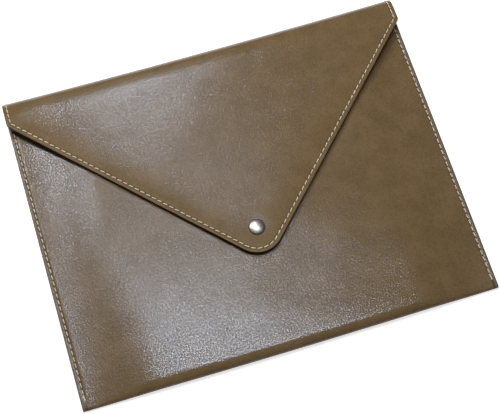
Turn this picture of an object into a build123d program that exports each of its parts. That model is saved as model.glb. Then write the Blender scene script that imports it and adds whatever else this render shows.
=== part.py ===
from build123d import *
import math
import os

# Document wallet for A4 papers, lying on its back. One long piece of lined leather is folded up
# into a sewn pocket and over into a pointed flap, which closes with a press stud.
# Millimetres: X across, +Y towards the top fold, +Z out of the front, origin under the back's middle.

# Overall size
WIDTH = 320.0
HEIGHT = 252.0

# Sheets
LEATHER = 1.4
LINING = 0.6

# Pocket
POCKET_GAP = 5.2          # room for papers between the linings
SEAM_GAP = 0.2            # what is left of it where the sides are sewn
SEAM_MARGIN = 7.0         # flat sewn border along each side
BULGE_RUN = 16.0          # from the border to the full pocket
BOTTOM_ROLL = 11.0        # height over which the full pocket rounds down to the bottom fold
BULGE_STEPS = 6
BEND_STEPS = 10           # facets round the bottom fold
MOUTH_DROP = 14.0         # pocket mouth below the top fold

# Flap
FLAP_SIDE = 22.0          # straight side below the top fold
FLAP_ANGLE = 45.7         # slope of the two long edges
FLAP_TIP_RADIUS = 20.0
FLAP_CORNER_RADIUS = 3.5

# Top fold, which bends along evenly spaced lines
FOLD_HINGES = 3
FOLD_GAP = 0.3            # between neighbouring strips

# Stitching, laid in grooves
STITCH_INSET = 3.2
STITCH_PITCH = 5.0
STITCH_LENGTH = 3.6
THREAD_WIDTH = 1.0
STITCH_CREST = 2.6        # length of a stitch's top
THREAD_HEIGHT = 0.45
GROOVE_CLEARANCE = 0.1
SEAM_START = 6.5          # lowest stitch above the bottom fold
STITCH_SEAT = 0.15        # under stitches that span a curve

# Press stud
CAP_RADIUS = 6.25
CAP_DOME = 16.0           # radius of the cap's dome
CAP_SHOULDER = 1.0        # radius between the dome and the upright side
CAP_RIM = 1.4             # rolled in under the cap
CAP_STEPS = 2             # facets along each of those curves, outside and inside
CAP_INNER_STEPS = 1
SHEET_METAL = 0.3
RIVET_RADIUS = 1.8
EYELET_RADIUS = 1.4
EYELET_FLANGE_RADIUS = 4.4
TUBE_WALL = 0.35
FLARE = 0.2               # thickness of a post's rolled end
FLARE_REACH = 0.6         # beyond its tube
SOCKET_RADIUS = 5.0
STUD_FLANGE_RADIUS = 4.8
STUD_FLANGE = 0.35
STUD_NECK_RADIUS = 2.4
STUD_HEAD_RADIUS = 2.8
STUD_HEAD = 0.6
SPRING_WIRE = 0.7
SPRING_SIDES = 5
SPRING_OPENING = 40.0
SNAP_CLEARANCE = 0.2
FIT = 0.05

# Pocket levels and places
WALL = LEATHER + LINING
BODY_TOP = 2 * WALL + POCKET_GAP
SEAM_TOP = 2 * WALL + SEAM_GAP
BOTTOM_Y = -HEIGHT / 2
TOP_Y = HEIGHT / 2
MOUTH_Y = TOP_Y - MOUTH_DROP

# Press stud levels, from the front panel up to the flap
STUD_SHOULDER_Z = BODY_TOP + STUD_FLANGE
SOCKET_Z = STUD_SHOULDER_Z + SNAP_CLEARANCE
SPRING_Z = SOCKET_Z + SHEET_METAL + FIT + SPRING_WIRE / 2
HEAD_Z = SPRING_Z + SPRING_WIRE / 2 + FIT
STUD_TOP_Z = HEAD_Z + STUD_HEAD
SOCKET_FLOOR_Z = STUD_TOP_Z + FLARE + SNAP_CLEARANCE + FLARE
FLAP_UNDER_Z = SOCKET_FLOOR_Z + SHEET_METAL
FLAP_LEATHER_Z = FLAP_UNDER_Z + LINING
FLAP_TOP_Z = FLAP_LEATHER_Z + LEATHER
CAP_SIDE_Z = FLAP_TOP_Z + 2 * SHEET_METAL

# Top fold: half a circle from the back up to the flap
FOLD_RADIUS = FLAP_TOP_Z / 2
FOLD_Y = TOP_Y - FOLD_RADIUS
HINGE_STEP = 180.0 / FOLD_HINGES
GAP_ANGLE = math.degrees(FOLD_GAP / 2 / FOLD_RADIUS)
CURL = HINGE_STEP / 2 - GAP_ANGLE      # part of the bend that the back and the flap keep

# Flap outline and the stud at the centre of its round tip
FLAP_SLOPE = math.tan(math.radians(FLAP_ANGLE))
FLAP_CORNER_Y = TOP_Y - FLAP_SIDE
FLAP_APEX_Y = FLAP_CORNER_Y - WIDTH / 2 * FLAP_SLOPE
SNAP_Y = FLAP_APEX_Y + FLAP_TIP_RADIUS / math.cos(math.radians(FLAP_ANGLE))

STITCH_X = WIDTH / 2 - STITCH_INSET
GROOVE_WIDTH = THREAD_WIDTH + 2 * GROOVE_CLEARANCE


def bulge(x):
    """Share of the pocket's fullness at x: 0 on the sewn borders, 1 across the middle."""
    run = (WIDTH / 2 - SEAM_MARGIN - abs(x)) / BULGE_RUN
    run = min(max(run, 0.0), 1.0)
    return run * run * (3 - 2 * run)


def front_top(x):
    return SEAM_TOP + (BODY_TOP - SEAM_TOP) * bulge(x)


def body_stations():
    """X of the sections that the pocket is lofted through."""
    inner_edge = WIDTH / 2 - SEAM_MARGIN
    half = [WIDTH / 2]
    half += [inner_edge - BULGE_RUN * step / BULGE_STEPS for step in range(BULGE_STEPS + 1)]
    return [-x for x in half] + half[::-1]


def sheet_line(x, depth):
    """Line of the pocket's sheet at x, from the mouth round the bottom fold into the top fold.

    depth is how far it lies below the leather's outside."""
    radius = front_top(x) / 2
    roll = SEAM_TOP / 2 + (BOTTOM_ROLL - SEAM_TOP / 2) * bulge(x)
    bend = []
    for step in range(BEND_STEPS + 1):
        angle = math.pi * step / BEND_STEPS
        y = BOTTOM_Y + roll - (roll - depth) * math.sin(angle)
        bend.append((y, radius + (radius - depth) * math.cos(angle)))
    legs = Polyline((MOUTH_Y, 2 * radius - depth), *bend, (FOLD_Y, depth))
    return legs + CenterArc((FOLD_Y, FOLD_RADIUS), FOLD_RADIUS - depth, -90, CURL)


def hairpin(x, outer, inner):
    """Section at x of a sheet between two depths below the leather's outside."""
    lines = [sheet_line(x, depth) for depth in (outer, inner)]
    ends = [Line(lines[0] @ end, lines[1] @ end) for end in (0, 1)]
    edges = [edge for line in lines + ends for edge in line.edges()]
    return Plane.YZ.offset(x) * make_face(edges)


def folded_sheet(outer, inner):
    return loft([hairpin(x, outer, inner) for x in body_stations()], ruled=True)


def bent_strip(depth, thickness, start, sweep, x_middle, width):
    """Piece of the top fold: a sector of the bend, depth below the leather's outside."""
    centre = (FOLD_Y, FOLD_RADIUS)
    outside = CenterArc(centre, FOLD_RADIUS - depth, start, sweep)
    inside = CenterArc(centre, FOLD_RADIUS - depth - thickness, start, sweep)
    ends = [Line(outside @ 0, inside @ 0), Line(outside @ 1, inside @ 1)]
    face = make_face([outside, inside] + ends)
    return extrude(Plane.YZ.offset(x_middle) * face, amount=width / 2, both=True)


def round_part(points):
    """Solid turned about the press stud's axis from a profile of (radius, height) points."""
    face = Plane.XZ * make_face(Polyline(*points, close=True))
    return Pos(0, SNAP_Y, 0) * revolve(face, axis=Axis.Z)


def hole(radius, bottom, top):
    return Pos(0, SNAP_Y, (bottom + top) / 2) * Cylinder(radius, top - bottom)


def stitch():
    """One stitch along X, standing on the XY plane, rising from its two holes to a crest."""
    dip = (STITCH_LENGTH - STITCH_CREST) / 2
    middle = THREAD_WIDTH / 2
    roof = Wedge(STITCH_LENGTH, THREAD_HEIGHT, THREAD_WIDTH, dip, middle, STITCH_LENGTH - dip, middle)
    return Rot(90, 0, 0) * Pos(0, THREAD_HEIGHT / 2, 0) * roof


STITCH = stitch()


def sew(path, height, up):
    """Stitches along a level path, seated at the given height and standing up (1) or down (-1)."""
    count = max(1, round(path.length / STITCH_PITCH))
    places = []
    for index in range(count):
        share = (index + 0.5) / count
        spot = path @ share
        places.append(Plane((spot.X, spot.Y, height), x_dir=path % share, z_dir=(0, 0, up)))
    return [place * STITCH for place in places]


def groove(path, bottom):
    """Cutter for the groove that a run of stitches lies in."""
    return Pos(0, 0, bottom) * extrude(trace(path, GROOVE_WIDTH), amount=THREAD_HEIGHT)


def flap_face():
    """Flat outline of the flap below the top fold."""
    outline = Polyline(
        (-WIDTH / 2, FOLD_Y),
        (-WIDTH / 2, FLAP_CORNER_Y),
        (0, FLAP_APEX_Y),
        (WIDTH / 2, FLAP_CORNER_Y),
        (WIDTH / 2, FOLD_Y),
        close=True,
    )
    face = make_face(outline)
    corners = face.vertices().sort_by(Axis.Y)
    face = fillet(corners[0], FLAP_TIP_RADIUS)
    corners = [v for v in face.vertices() if abs(v.Y - FLAP_CORNER_Y) < FIT]
    return fillet(corners, FLAP_CORNER_RADIUS)


def flap_runs():
    """Stitch lines of the flap: two sides, and one run along the long edges and round the tip."""
    apex_y = FLAP_APEX_Y + STITCH_INSET / math.cos(math.radians(FLAP_ANGLE))
    corner_y = apex_y + STITCH_X * FLAP_SLOPE
    long_run = FilletPolyline(
        (-STITCH_X, corner_y), (0, apex_y), (STITCH_X, corner_y), radius=FLAP_TIP_RADIUS - STITCH_INSET
    )
    sides = [Line((x, FOLD_Y), (x, corner_y)) for x in (-STITCH_X, STITCH_X)]
    return sides + [long_run]


def seam_run(x, top):
    return Line((x, BOTTOM_Y + SEAM_START), (x, top))


def bent_grooves(start, sweep):
    """Cutters for the grooves round a sector of the top fold."""
    return [bent_strip(0, THREAD_HEIGHT, start, sweep, x, GROOVE_WIDTH) for x in (-STITCH_X, STITCH_X)]


def body_leather():
    leather = folded_sheet(0, LEATHER)
    for x in (-STITCH_X, STITCH_X):
        leather -= groove(seam_run(x, MOUTH_Y), SEAM_TOP - THREAD_HEIGHT)
        leather -= groove(seam_run(x, FOLD_Y), 0)
    leather -= bent_grooves(-90, CURL)
    return leather - hole(EYELET_RADIUS + FIT, BODY_TOP - LEATHER, BODY_TOP)


def pocket_lining():
    lining = folded_sheet(LEATHER, WALL)
    return lining - hole(EYELET_RADIUS + FIT, BODY_TOP - WALL, BODY_TOP - LEATHER)


def mouth_stitches(depth, up):
    """Stitches along the pocket mouth, on the front sheet's face at the given depth."""
    reach = STITCH_X - STITCH_PITCH
    count = round(2 * reach / STITCH_PITCH)
    stitches = []
    for index in range(count):
        x = -reach + 2 * reach * (index + 0.5) / count
        low_end = Vector(x - STITCH_LENGTH / 2, 0, front_top(x - STITCH_LENGTH / 2))
        high_end = Vector(x + STITCH_LENGTH / 2, 0, front_top(x + STITCH_LENGTH / 2))
        along = (high_end - low_end).normalized()
        outward = Vector(-along.Z, 0, along.X) * up
        middle = (low_end + high_end) * 0.5 + outward * STITCH_SEAT
        spot = (middle.X, MOUTH_Y - STITCH_INSET, middle.Z - depth)
        stitches.append(Plane(spot, x_dir=along, z_dir=outward) * STITCH)
    return stitches


def bent_stitches(depth, start, sweep, x):
    """Stitches round a sector of the top fold at x, on the sheet's face at the given depth."""
    length = math.radians(sweep) * FOLD_RADIUS
    count = math.ceil(length / STITCH_PITCH)
    pitch = sweep / count
    span = pitch * STITCH_LENGTH / STITCH_PITCH
    firsts = [start + pitch * (index + 0.5) - span / 2 for index in range(count)]
    return [bent_strip(depth, THREAD_HEIGHT, first, span, x, THREAD_WIDTH) for first in firsts]


def fold_stitches(start, sweep):
    """The stitches of one sector of the top fold, outside and inside, at both ends."""
    places = [(depth, x) for depth in (0, WALL) for x in (-STITCH_X, STITCH_X)]
    return [s for depth, x in places for s in bent_stitches(depth, start, sweep, x)]


def fold_leather(start, sweep):
    return bent_strip(0, LEATHER, start, sweep, 0, WIDTH) - bent_grooves(start, sweep)


def flap_sheet(bottom, thickness):
    """One sheet of the flap with its share of the top fold's bend."""
    depth = FLAP_TOP_Z - bottom - thickness
    flat = Pos(0, 0, bottom) * extrude(flap_face(), amount=thickness)
    return flat + bent_strip(depth, thickness, 90 - CURL, CURL, 0, WIDTH)


def flap_leather():
    leather = flap_sheet(FLAP_LEATHER_Z, LEATHER)
    for run in flap_runs():
        leather -= groove(run, FLAP_TOP_Z - THREAD_HEIGHT)
    leather -= bent_grooves(90 - CURL, CURL)
    return leather - hole(RIVET_RADIUS + FIT, FLAP_LEATHER_Z, FLAP_TOP_Z)


def flap_lining():
    return flap_sheet(FLAP_UNDER_Z, LINING) - hole(RIVET_RADIUS + FIT, FLAP_UNDER_Z, FLAP_LEATHER_Z)


def flap_stitches(depth, up):
    """Stitches along the flap's edges, seated below (1) or standing out from (-1) the face at a depth."""
    height = FLAP_TOP_Z - depth - (THREAD_HEIGHT if up > 0 else 0)
    stitches = [s for run in flap_runs() for s in sew(run, height, up)]
    for x in (-STITCH_X, STITCH_X):
        stitches += bent_stitches(depth, 90 - CURL, CURL, x)
    return stitches


def seam_needle_stitches(x):
    """Stitches of a side seam on the front panel and, above its mouth, on the back's lining."""
    above_mouth = Line((x, MOUTH_Y), (x, FOLD_Y))
    stitches = sew(seam_run(x, MOUTH_Y), SEAM_TOP - THREAD_HEIGHT, 1) + sew(above_mouth, WALL, 1)
    return stitches + bent_stitches(WALL, -90, CURL, x)


def seam_bobbin_stitches(x):
    """Stitches of a side seam on the back panel."""
    return sew(seam_run(x, FOLD_Y), THREAD_HEIGHT, -1) + bent_stitches(0, -90, CURL, x)


def arc_points(centre, radius, start, sweep, steps):
    """Points along an arc, angles in degrees."""
    angles = [math.radians(start + sweep * step / steps) for step in range(steps + 1)]
    return [(centre[0] + radius * math.cos(a), centre[1] + radius * math.sin(a)) for a in angles]


def cap_skin(depth, steps):
    """Profile of the cap at a depth below its outside, from the upright side to the crown."""
    shoulder_x = CAP_RADIUS - CAP_SHOULDER
    to_shoulder = CAP_DOME - CAP_SHOULDER
    drop = math.sqrt(to_shoulder**2 - shoulder_x**2)
    lean = math.degrees(math.asin(shoulder_x / to_shoulder))
    shoulder = arc_points((shoulder_x, CAP_SIDE_Z), CAP_SHOULDER - depth, 0, 90 - lean, steps)
    dome = arc_points((0, CAP_SIDE_Z - drop), CAP_DOME - depth, 90 - lean, lean, steps)
    return shoulder + dome[1:]


def cap():
    """Domed shell with its rim rolled in over the post's flange."""
    rim_x = CAP_RADIUS - CAP_RIM
    wall_x = CAP_RADIUS - SHEET_METAL
    rim = [
        (wall_x, FLAP_TOP_Z + SHEET_METAL),
        (rim_x, FLAP_TOP_Z + SHEET_METAL),
        (rim_x, FLAP_TOP_Z),
        (CAP_RADIUS, FLAP_TOP_Z),
    ]
    inside = cap_skin(SHEET_METAL, CAP_INNER_STEPS)
    return round_part(rim + cap_skin(0, CAP_STEPS) + inside[::-1])


def cap_post():
    """Flanged tube that holds the cap, goes through the flap and is flared under the socket's floor."""
    flange_z = FLAP_TOP_Z + SHEET_METAL
    bore = RIVET_RADIUS - TUBE_WALL
    flare = RIVET_RADIUS + FLARE_REACH
    return round_part([
        (0, flange_z + SHEET_METAL),
        (CAP_RADIUS - SHEET_METAL - FIT, flange_z + SHEET_METAL),
        (CAP_RADIUS - SHEET_METAL - FIT, flange_z),
        (RIVET_RADIUS, flange_z),
        (RIVET_RADIUS, SOCKET_FLOOR_Z),
        (flare, SOCKET_FLOOR_Z),
        (flare, SOCKET_FLOOR_Z - FLARE),
        (bore, SOCKET_FLOOR_Z - FLARE),
        (bore, flange_z),
        (0, flange_z),
    ])


def socket():
    """Round cup under the flap, open towards the stud, with a lip that keeps the spring in."""
    mouth = STUD_HEAD_RADIUS + SNAP_CLEARANCE
    wall = SOCKET_RADIUS - SHEET_METAL
    return round_part([
        (RIVET_RADIUS + FIT, FLAP_UNDER_Z),
        (SOCKET_RADIUS, FLAP_UNDER_Z),
        (SOCKET_RADIUS, SOCKET_Z),
        (mouth, SOCKET_Z),
        (mouth, SOCKET_Z + SHEET_METAL),
        (wall, SOCKET_Z + SHEET_METAL),
        (wall, SOCKET_FLOOR_Z),
        (RIVET_RADIUS + FIT, SOCKET_FLOOR_Z),
    ])


def ring_spring():
    """Open wire ring round the stud's neck."""
    ring_radius = STUD_NECK_RADIUS + FIT + SPRING_WIRE / 2
    section = Plane.XZ * Pos(ring_radius, SPRING_Z) * RegularPolygon(SPRING_WIRE / 2, SPRING_SIDES)
    ring = revolve(section, axis=Axis.Z, revolution_arc=360 - SPRING_OPENING)
    return Pos(0, SNAP_Y, 0) * ring


def stud():
    """Flange, neck and bulging head, with a hole for the eyelet."""
    bore = EYELET_RADIUS + FIT
    shoulder = STUD_HEAD / 3
    return round_part([
        (bore, BODY_TOP),
        (STUD_FLANGE_RADIUS, BODY_TOP),
        (STUD_FLANGE_RADIUS, STUD_SHOULDER_Z),
        (STUD_NECK_RADIUS, STUD_SHOULDER_Z),
        (STUD_NECK_RADIUS, HEAD_Z),
        (STUD_HEAD_RADIUS, HEAD_Z + shoulder),
        (STUD_HEAD_RADIUS, STUD_TOP_Z - shoulder),
        (STUD_NECK_RADIUS, STUD_TOP_Z),
        (bore, STUD_TOP_Z),
    ])


def stud_eyelet():
    """Flanged tube from inside the pocket, flared over the stud's top."""
    inside_z = BODY_TOP - WALL
    bore = EYELET_RADIUS - TUBE_WALL
    flare = EYELET_RADIUS + FLARE_REACH
    return round_part([
        (bore, inside_z - SHEET_METAL),
        (EYELET_FLANGE_RADIUS, inside_z - SHEET_METAL),
        (EYELET_FLANGE_RADIUS, inside_z),
        (EYELET_RADIUS, inside_z),
        (EYELET_RADIUS, STUD_TOP_Z),
        (flare, STUD_TOP_Z),
        (flare, STUD_TOP_Z + FLARE),
        (bore, STUD_TOP_Z + FLARE),
    ])


parts = {
    "body_leather": body_leather(),
    "pocket_lining": pocket_lining(),
    "mouth_needle_thread": mouth_stitches(0, 1),
    "mouth_bobbin_thread": mouth_stitches(WALL, -1),
    "stud": stud(),
    "stud_eyelet": stud_eyelet(),
    "flap_leather": flap_leather(),
    "flap_lining": flap_lining(),
    "flap_needle_thread": flap_stitches(0, 1),
    "flap_bobbin_thread": flap_stitches(WALL, -1),
    "stud_cap": cap(),
    "cap_post": cap_post(),
    "stud_socket": socket(),
    "ring_spring": ring_spring(),
}
for side, x in (("left", -STITCH_X), ("right", STITCH_X)):
    parts[f"{side}_seam_needle_thread"] = seam_needle_stitches(x)
    parts[f"{side}_seam_bobbin_thread"] = seam_bobbin_stitches(x)
for number in range(1, FOLD_HINGES):
    first = -90 + HINGE_STEP * (number - 0.5) + GAP_ANGLE
    sweep = HINGE_STEP - 2 * GAP_ANGLE
    parts[f"top_fold_leather_{number}"] = fold_leather(first, sweep)
    parts[f"top_fold_lining_{number}"] = bent_strip(LEATHER, LINING, first, sweep, 0, WIDTH)
    parts[f"top_fold_stitches_{number}"] = fold_stitches(first, sweep)

os.makedirs("parts", exist_ok=True)
for name, shape in parts.items():
    solid = Compound(children=list(shape)) if isinstance(shape, list) else shape
    export_step(solid, f"parts/{name}.step")
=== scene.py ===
import math

import bmesh
import bpy
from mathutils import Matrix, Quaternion, Vector
from mathutils.geometry import delaunay_2d_cdt

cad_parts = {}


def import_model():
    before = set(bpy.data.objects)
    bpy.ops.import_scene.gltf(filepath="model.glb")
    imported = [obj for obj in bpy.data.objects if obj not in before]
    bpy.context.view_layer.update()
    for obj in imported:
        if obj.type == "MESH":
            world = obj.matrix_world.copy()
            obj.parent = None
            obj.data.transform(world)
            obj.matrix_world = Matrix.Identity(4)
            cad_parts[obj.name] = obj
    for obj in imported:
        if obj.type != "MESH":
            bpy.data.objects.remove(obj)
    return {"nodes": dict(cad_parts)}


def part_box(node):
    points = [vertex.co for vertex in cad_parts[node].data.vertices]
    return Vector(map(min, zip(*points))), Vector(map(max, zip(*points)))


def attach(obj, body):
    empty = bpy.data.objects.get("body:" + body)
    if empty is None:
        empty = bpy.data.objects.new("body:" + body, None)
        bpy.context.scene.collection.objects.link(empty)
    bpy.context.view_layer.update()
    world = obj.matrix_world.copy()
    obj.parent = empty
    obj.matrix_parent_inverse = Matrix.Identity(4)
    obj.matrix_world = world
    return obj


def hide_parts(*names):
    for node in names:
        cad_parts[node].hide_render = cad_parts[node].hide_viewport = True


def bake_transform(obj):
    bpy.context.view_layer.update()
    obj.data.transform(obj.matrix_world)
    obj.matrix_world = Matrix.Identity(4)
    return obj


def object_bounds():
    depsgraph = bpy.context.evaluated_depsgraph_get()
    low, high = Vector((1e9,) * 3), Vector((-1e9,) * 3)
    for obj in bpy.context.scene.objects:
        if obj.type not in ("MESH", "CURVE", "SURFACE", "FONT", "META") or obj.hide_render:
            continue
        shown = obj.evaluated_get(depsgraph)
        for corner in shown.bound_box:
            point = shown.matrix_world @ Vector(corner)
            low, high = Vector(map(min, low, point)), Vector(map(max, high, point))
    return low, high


# A leather document wallet: a lined sheet folded into a sewn pocket and over into a pointed flap.
# Shapes are worked out in millimetres and turned into metres when a mesh is made.

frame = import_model()
cad_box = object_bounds()
MM = 0.001


def box_mm(name):
    """Lowest and highest corner of a CAD node in millimetres."""
    return [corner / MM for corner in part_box(name)]


# Sizes read from the frame
LOW, HIGH = [corner / MM for corner in cad_box]
HALF_WIDTH = HIGH.x
TOP_Y = HIGH.y
BOTTOM_Y = LOW.y
BODY_TOP = box_mm("stud")[0].z
FLAP_TOP = box_mm("stud_cap")[0].z
SNAP_Y = sum(box_mm("stud_cap"), Vector()).y / 2

# Sheets and pocket
LEATHER = 1.4
LINING = 0.6
WALL = LEATHER + LINING
SEAM_ROOM = 0.2           # room between the two linings at the sewn sides
SEAM_TOP = 2 * WALL + SEAM_ROOM
SEAM_MARGIN = 7.0         # flat border along the sewn sides
BULGE_RUN = 55.0          # the front panel rises over this width to its full height
BOTTOM_ROLL = 8.0         # how far the bottom fold reaches out where the pocket is full
BOTTOM_BOW = 1.3          # the filled bottom stands out this far in its middle
BEND_Y = BOTTOM_Y + BOTTOM_ROLL + 4.0   # above this the rows of points are level
BEND_LENGTH = 21.0        # leather round the bottom fold
MOUTH_Y = TOP_Y - 14.0

# Top fold and flap
FOLD_RADIUS = FLAP_TOP / 2
FOLD_Y = TOP_Y - FOLD_RADIUS
FOLD_PIECES = 3
FOLD_STEP = 180.0 / FOLD_PIECES
TOP_BOW = 1.4             # the fold's middle lies this far in from its ends
BOW_REACH = 45.0
TOP_SAG = 3.6             # the flap slopes down towards the fold
SAG_REACH = 17.0
FLAP_SAG = 0.8            # the flap hangs between the fold and the press stud
FLAP_ANGLE = math.radians(45.7)
FLAP_SLOPE = math.tan(FLAP_ANGLE)
FLAP_CORNER_Y = TOP_Y - 22.0
FLAP_APEX_Y = FLAP_CORNER_Y - HALF_WIDTH * FLAP_SLOPE
FLAP_TIP_RADIUS = 20.0
FLAP_CORNER_RADIUS = 3.5
LEAST_CORNER = 0.3        # radius of the corner in lines far from the edge

# Waves of the panels: the height, length along x, length along y and shift of each
FRONT_WAVES = [
    (0.11, 34, 29, 1.2),
    (0.11, 34, -29, 0.2),
    (0.16, 25, 25 / 1.3, 1.0),
    (0.08, 19 / 1.7, -19, -0.6),
]
FLAP_WAVES = [
    (0.09, 30, 33, 1.0),
    (0.09, 30, -33, -0.2),
    (0.1125, 22, -22 / 1.4, 0.8),
]

# Still places of the waves: how far each reaches, and the run over which the waves grow from there
BOTTOM_STILL = (12.0, 30.0)
STUD_STILL = (7.0, 25.0)
FOLD_STILL = (3.0, 35.0)
CAP_STILL = (6.5, 30.0)

# Raised ring of leather round the cap: its height, and the distances over which it rises and falls
PUCKER = 0.22
PUCKER_RISE = (6.4, 4.0)
PUCKER_FALL = (10.0, 12.0)

# Edges and stitches
EDGE_ROUND = 0.35
STITCH_INSET = 3.2
STITCH_X = HALF_WIDTH - STITCH_INSET
STITCH_PITCH = 5.0
STITCH_LENGTH = 4.0
STITCH_RISE = 0.16
STITCH_DIVE = 1.0         # how far a stitch's ends go down their holes
STITCH_SHOWN = 0.6        # share of a stitch that lies level on the leather
STITCH_SLANT = math.radians(5)
STITCH_RINGS = 11
END_STITCH = 1.35         # size of the doubled stitch that ends a side seam
SUNK = -0.53              # rise of the stitches that lie in a groove on the underside
PLY_RADIUS = 0.27
PLY_SIDES = 6
PLY_TURNS = 1.6           # turns of the two plies round each other in a stitch
PLY_HEIGHT = 0.8          # the plies wind this far up and across, as shares of their radius
PLY_WIDTH = 0.85
DIRECTION_REACH = 0.2     # half the length over which a stitch's direction is taken
SLOPE_REACH = 0.1         # half the width over which the front panel's slope is taken
SEAM_START = 6.5
GROOVE_HALF = 0.85
GROOVE_DEPTH = 0.4
GROOVE_END = 2.0          # a groove runs out over this length

# Distances from an edge at which the meshes have a line of points
EDGE_LINES = [0, 0.05, 0.15, 0.35, 1.2, 2.35, 2.7, 3.2, 3.7, 4.05, 6, 9]
BULGE_LINES = [12, 16, 20, 24, 28, 32, 36, 40, 44, 48, 52, 56, 62]
LINING_LINES = [0, 0.3, 3.2, 6.5, 9, 15, 22, 30, 38, 46, 54, 62]
LINING_FLAP_LINES = LINING_LINES[:5]
LINING_MOUTH_LINES = [0, 0.3, 3.2, 9]

# Spacing of the other points, in millimetres, degrees or steps
LEATHER_STEP = 4.0
LINING_STEP = 8.0
LEATHER_BEND_STEPS = 18
LINING_BEND_STEPS = 12
END_SHARES = (0.33, 0.67)
FOLD_ROW = 4.5
FOLD_END_ROW = 0.3
CORNER_STEPS = 5
TIP_STEPS = 12
STITCH_LINE_STEP = 1.0
TURNED_STEPS = 72
ROUND_STEPS = 4
SAME_PLACE = 0.01
TINY = 1e-6


# Shape of the sheets

def smooth(value):
    """Smooth step from 0 to 1 as the value goes from 0 to 1."""
    value = min(max(value, 0.0), 1.0)
    return value * value * (3 - 2 * value)


def grown(distance, start, run):
    """0 up to a start distance, and 1 from a run further on."""
    return smooth((distance - start) / run)


def wave_height(waves, x, y):
    """Height of crossing waves."""
    total = 0.0
    for height, long_x, long_y, shift in waves:
        total += height * math.sin(x / long_x + y / long_y + shift)
    return total


def bulge(x):
    """Share of the pocket's fullness at x: 0 on the sewn borders, 1 across the middle."""
    return smooth((HALF_WIDTH - SEAM_MARGIN - abs(x)) / BULGE_RUN)


def front_top(x):
    """Height of the front panel without its waves."""
    return SEAM_TOP + (BODY_TOP - SEAM_TOP) * bulge(x)


def bend_start(x):
    """Where the front and back panels turn into the bottom fold, and how far it reaches out."""
    roll = SEAM_TOP / 2 + (BOTTOM_ROLL - SEAM_TOP / 2) * bulge(x)
    return BOTTOM_Y + roll - BOTTOM_BOW * (1 - (x / HALF_WIDTH) ** 2), roll


def swell(x, y):
    """Soft waves of the filled front panel, still at its borders and round the press stud."""
    from_snap = math.hypot(x, y - SNAP_Y)
    calm = bulge(x) * grown(y - BOTTOM_Y, *BOTTOM_STILL) * grown(from_snap, *STUD_STILL)
    return calm * wave_height(FRONT_WAVES, x, y)


def bowed(x, y, z):
    """Point with the bow and the slope of the top fold taken in."""
    bow = TOP_BOW * smooth((y - FOLD_Y + BOW_REACH) / BOW_REACH) * (1 - (x / HALF_WIDTH) ** 2)
    toward_fold = max((y - FOLD_Y + SAG_REACH) / (SAG_REACH + FOLD_RADIUS), 0.0)
    sag = TOP_SAG * toward_fold ** 3 * smooth(z / FLAP_TOP)
    return Vector((x, y - bow, z - sag))


def pocket_point(x, row, depth):
    """Point of the pocket's sheet, depth below the leather's outside.

    row is a leg of the sheet and a place on it: a height, a share of the leg or an angle."""
    leg, value = row
    radius = front_top(x) / 2
    start_y, roll = bend_start(x)
    if leg == "front":
        return bowed(x, value, front_top(x) + swell(x, value) - depth)
    if leg == "back":
        return bowed(x, value, depth)
    if leg == "bend":
        y = start_y - (roll - depth) * math.sin(value)
        return Vector((x, y, radius + (radius - depth) * math.cos(value)))
    y = start_y + (BEND_Y - start_y) * value
    return Vector((x, y, front_top(x) + swell(x, y) - depth if leg == "front_end" else depth))


def fold_point(x, angle, depth):
    """Point of the top fold at an angle in degrees, from -90 on the back to 90 at the flap."""
    radius = FOLD_RADIUS - depth
    y = FOLD_Y + radius * math.cos(math.radians(angle))
    return bowed(x, y, FOLD_RADIUS + radius * math.sin(math.radians(angle)))


def flap_lift(x, y):
    """Soft waves of the flap, flat at the fold and round the press stud, and its sag between them."""
    from_snap = math.hypot(x, y - SNAP_Y)
    calm = grown(FOLD_Y - y, *FOLD_STILL) * grown(from_snap, *CAP_STILL)
    pucker = PUCKER * grown(from_snap, *PUCKER_RISE) * (1 - grown(from_snap, *PUCKER_FALL))
    hang = min(max((y - SNAP_Y) / (FOLD_Y - SNAP_Y), 0.0), 1.0)
    return calm * wave_height(FLAP_WAVES, x, y) + pucker - FLAP_SAG * 4 * hang * (1 - hang)


def flap_point(x, y, depth):
    """Point of the flap, depth below the leather's outside."""
    return bowed(x, y, FLAP_TOP + flap_lift(x, y) - depth)


def flap_corner(inset):
    """Centre and radius of the rounded corner of a line that runs at an inset from the flap's edge."""
    radius = max(FLAP_CORNER_RADIUS - inset, LEAST_CORNER)
    x = HALF_WIDTH - inset - radius
    return x, FLAP_APEX_Y + x * FLAP_SLOPE + (inset + radius) / math.cos(FLAP_ANGLE), radius


def flap_inset(x, y):
    """Distance of a point of the flap from its free edge."""
    x = abs(x)
    if math.atan2(x, SNAP_Y - y) < FLAP_ANGLE:
        return FLAP_TIP_RADIUS - math.hypot(x, y - SNAP_Y)
    centre_x, centre_y = flap_corner(0)[:2]
    out_x, out_y = x - centre_x, y - centre_y
    if out_x > 0 and FLAP_ANGLE - math.pi / 2 < math.atan2(out_y, out_x) < 0:
        return FLAP_CORNER_RADIUS - math.hypot(out_x, out_y)
    slant = (y - FLAP_APEX_Y - x * FLAP_SLOPE) * math.cos(FLAP_ANGLE)
    return min(HALF_WIDTH - x, slant)


def along(start, end, steps):
    """Points on a straight run, without its last."""
    return [start.lerp(end, step / steps) for step in range(steps)]


def around(centre, radius, start, sweep, steps):
    """Points on an arc, angles in radians, without its last."""
    angles = [start + sweep * step / steps for step in range(steps)]
    return [Vector((centre[0] + radius * math.cos(a), centre[1] + radius * math.sin(a))) for a in angles]


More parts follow.
